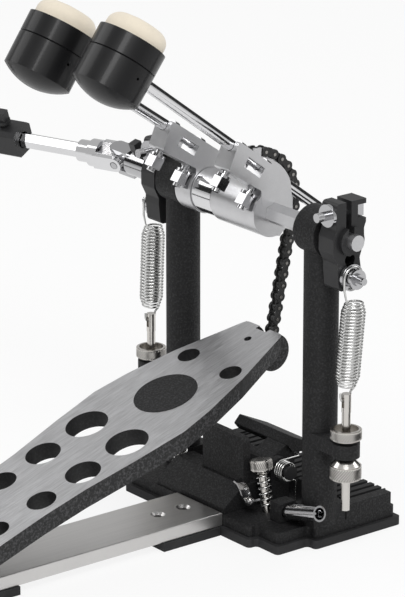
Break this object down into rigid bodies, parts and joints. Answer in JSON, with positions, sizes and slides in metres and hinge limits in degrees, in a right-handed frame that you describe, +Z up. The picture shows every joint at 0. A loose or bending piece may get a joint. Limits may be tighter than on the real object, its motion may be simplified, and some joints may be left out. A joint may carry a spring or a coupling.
{
  "type": "double bass drum pedal",
  "caption": "Double bass drum pedal: chain-driven main pedal with twin beaters, springs and hoop clamp, joined by a telescoping drive shaft to a second pedal.",
  "frame": {"origin": "on the floor under the main pedal's axle, in the plane of its chain", "axes": "+X along the axle to the player's right, +Y from heel to drum, +Z up"},
  "size_m": [0.8002, 0.5868, 0.3778],
  "materials": {
    "brushed_aluminium": "brushed top, black textured sides",
    "black_casting": "black textured powder coat",
    "rubber": "matte",
    "brushed_steel": "fine brushed",
    "chrome": "polished",
    "satin_alloy": "satin cast",
    "spring_steel": "bright zinc",
    "black_gloss": "gloss",
    "felt": "pressed felt",
    "black_steel": "blackened satin"
  },
  "bodies": {
    "frame": {"base_casting": "black_casting", "base_mat": "rubber", "hoop_pad": "rubber", "post_right": "black_casting", "post_left": "black_casting", "base_bar": "brushed_steel", "bar_pads": "rubber", "heel_plate": "black_casting", "jaw_pivot": "chrome", "jaw_spring": "spring_steel", "key_clip": "chrome", "spur_spring_right": "spring_steel", "spur_spring_left": "spring_steel"},
    "footboard": {"footboard": "brushed_aluminium", "badge": "black_steel"},
    "right_axle": {"hex_axle": "chrome", "holder_right": "satin_alloy", "holder_right_bolts": "chrome", "cam": "satin_alloy", "chain_wrap": "black_steel", "rocker_right": "black_steel", "rocker_right_fittings": "chrome"},
    "chain_upper": {"chain_upper": "black_steel"},
    "chain_middle": {"chain_middle": "black_steel"},
    "chain_run": {"chain_run": "black_steel"},
    "tension_right": {"tension_rod_right": "chrome"},
    "spring_right": {"spring_right": "spring_steel"},
    "beater_right": {"beater_right_rod": "chrome", "beater_right_head": "black_gloss", "beater_right_felt": "felt"},
    "left_axle": {"left_axle": "chrome", "holder_left": "satin_alloy", "holder_left_bolts": "chrome", "rocker_left": "black_steel", "rocker_left_fittings": "chrome", "main_fork": "chrome"},
    "tension_left": {"tension_rod_left": "chrome"},
    "spring_left": {"spring_left": "spring_steel"},
    "beater_left": {"beater_left_rod": "chrome", "beater_left_head": "black_gloss", "beater_left_felt": "felt"},
    "hoop_jaw": {"hoop_jaw": "black_casting"},
    "clamp_screw": {"clamp_screw": "chrome"},
    "spur_right": {"spur_right": "chrome"},
    "spur_left": {"spur_left": "chrome"},
    "shaft_bar": {"shaft_bar": "chrome"},
    "slave_frame": {"slave_base": "black_casting", "slave_mat": "rubber", "slave_pads": "rubber", "slave_posts": "black_casting", "slave_bar": "brushed_steel", "slave_heel_plate": "black_casting"},
    "shaft_tube": {"shaft_tube": "black_steel"},
    "slave_footboard": {"slave_footboard": "brushed_aluminium", "slave_badge": "black_steel"},
    "slave_axle": {"slave_axle": "chrome", "slave_chain_wrap": "black_steel"},
    "slave_chain_upper": {"slave_chain_upper": "black_steel"},
    "slave_chain_middle": {"slave_chain_middle": "black_steel"},
    "slave_chain_run": {"slave_chain_run": "black_steel"}
  },
  "joints": [
    {"name": "press", "type": "hinge", "parent": "frame", "child": "footboard", "pos_m": [0, -0.301, 0.022], "axis": [1, 0, 0], "range_deg": [-5.19, 0], "stiffness_Nm_per_rad": 60, "springref_deg": 3.44},
    {"name": "axle_turn", "type": "hinge", "parent": "frame", "child": "right_axle", "pos_m": [0, 0, 0.222], "axis": [1, 0, 0], "range_deg": [-42.95, 0]},
    {"name": "chain_upper_turn", "type": "hinge", "parent": "right_axle", "child": "chain_upper", "pos_m": [0, 0.02976, 0.24482], "axis": [1, 0, 0], "range_deg": [0, 12.27]},
    {"name": "chain_middle_turn", "type": "hinge", "parent": "chain_upper", "child": "chain_middle", "pos_m": [0, 0.03654, 0.23043], "axis": [1, 0, 0], "range_deg": [0, 24.51]},
    {"name": "chain_run_turn", "type": "hinge", "parent": "chain_middle", "child": "chain_run", "pos_m": [0, 0.03675, 0.21452], "axis": [1, 0, 0], "range_deg": [0, 12.27]},
    {"name": "slave_reach", "type": "slide", "parent": "frame", "child": "slave_frame", "axis": [-0.9426, -0.3338, 0], "range_m": [-0.03, 0.1]},
    {"name": "slave_press", "type": "hinge", "parent": "slave_frame", "child": "slave_footboard", "pos_m": [-0.6042, -0.42785, 0.022], "axis": [1, 0, 0], "range_deg": [-5.19, 0], "stiffness_Nm_per_rad": 60, "springref_deg": 3.44},
    {"name": "slave_axle_turn", "type": "hinge", "parent": "slave_frame", "child": "slave_axle", "pos_m": [-0.6042, -0.12685, 0.222], "axis": [1, 0, 0], "range_deg": [-42.95, 0]},
    {"name": "slave_chain_upper_turn", "type": "hinge", "parent": "slave_axle", "child": "slave_chain_upper", "pos_m": [-0.6042, -0.09709, 0.24482], "axis": [1, 0, 0], "range_deg": [0, 12.27]},
    {"name": "slave_chain_middle_turn", "type": "hinge", "parent": "slave_chain_upper", "child": "slave_chain_middle", "pos_m": [-0.6042, -0.09031, 0.23043], "axis": [1, 0, 0], "range_deg": [0, 24.51]},
    {"name": "slave_chain_run_turn", "type": "hinge", "parent": "slave_chain_middle", "child": "slave_chain_run", "pos_m": [-0.6042, -0.0901, 0.21452], "axis": [1, 0, 0], "range_deg": [0, 12.27]},
    {"name": "left_axle_turn", "type": "hinge", "parent": "frame", "child": "left_axle", "pos_m": [0, 0, 0.222], "axis": [1, 0, 0], "range_deg": [-42.95, 0]},
    {"name": "shaft_bar_turn", "type": "hinge", "parent": "frame", "child": "shaft_bar", "pos_m": [-0.146, 0, 0.222], "axis": [0.9426, 0.3338, 0], "range_deg": [-40.69, 0]},
    {"name": "shaft_tube_turn", "type": "hinge", "parent": "slave_frame", "child": "shaft_tube", "pos_m": [-0.146, 0, 0.222], "axis": [0.9426, 0.3338, 0], "range_deg": [-40.69, 0]},
    {"name": "tension_right_turn", "type": "hinge", "parent": "frame", "child": "tension_right", "pos_m": [0.107, -0.004, 0.077], "axis": [1, 0, 0], "range_deg": [0, 7.8]},
    {"name": "spring_right_stretch", "type": "slide", "parent": "tension_right", "child": "spring_right", "axis": [0, 0, 1], "range_m": [0, 0.00734], "deforming": ["spring_right"]},
    {"name": "beater_right_height", "type": "slide", "parent": "right_axle", "child": "beater_right", "axis": [0, -0.7986, 0.6018], "range_m": [-0.03, 0.03]},
    {"name": "tension_left_turn", "type": "hinge", "parent": "frame", "child": "tension_left", "pos_m": [-0.107, -0.004, 0.077], "axis": [1, 0, 0], "range_deg": [0, 7.8]},
    {"name": "spring_left_stretch", "type": "slide", "parent": "tension_left", "child": "spring_left", "axis": [0, 0, 1], "range_m": [0, 0.00734], "deforming": ["spring_left"]},
    {"name": "beater_left_height", "type": "slide", "parent": "left_axle", "child": "beater_left", "axis": [0, -0.8192, 0.5736], "range_m": [-0.03, 0.03]},
    {"name": "jaw_turn", "type": "hinge", "parent": "frame", "child": "hoop_jaw", "pos_m": [0, 0, 0.04], "axis": [1, 0, 0], "range_deg": [-8, 12], "deforming": ["jaw_spring"]},
    {"name": "clamp_screw_turn", "type": "hinge", "parent": "frame", "child": "clamp_screw", "pos_m": [0.053, -0.0185, 0.019], "axis": [0.9659, 0, 0.2588], "continuous": true},
    {"name": "spur_right_height", "type": "slide", "parent": "frame", "child": "spur_right", "axis": [-0.2079, 0, 0.9781], "range_m": [-0.002, 0.005], "deforming": ["spur_spring_right"]},
    {"name": "spur_left_height", "type": "slide", "parent": "frame", "child": "spur_left", "axis": [0.2079, 0, 0.9781], "range_m": [-0.002, 0.005], "deforming": ["spur_spring_left"]}
  ],
  "couplings": [
    {"joint": "axle_turn", "follows": "press", "ratio": 8.2643},
    {"joint": "chain_upper_turn", "follows": "press", "ratio": -2.3577},
    {"joint": "chain_middle_turn", "follows": "press", "ratio": -4.7155},
    {"joint": "chain_run_turn", "follows": "press", "ratio": -2.3577},
    {"joint": "slave_axle_turn", "follows": "slave_press", "ratio": 8.2643},
    {"joint": "slave_chain_upper_turn", "follows": "slave_press", "ratio": -2.3577},
    {"joint": "slave_chain_middle_turn", "follows": "slave_press", "ratio": -4.7155},
    {"joint": "slave_chain_run_turn", "follows": "slave_press", "ratio": -2.3577},
    {"joint": "left_axle_turn", "follows": "slave_press", "ratio": 8.2643},
    {"joint": "shaft_bar_turn", "follows": "slave_press", "ratio": 7.8302},
    {"joint": "shaft_tube_turn", "follows": "slave_press", "ratio": 7.8302},
    {"joint": "tension_right_turn", "follows": "press", "ratio": -1.4978},
    {"joint": "spring_right_stretch", "follows": "press", "m_per_rad": -0.080475},
    {"joint": "tension_left_turn", "follows": "slave_press", "ratio": -1.4978},
    {"joint": "spring_left_stretch", "follows": "slave_press", "m_per_rad": -0.080475}
  ]
}
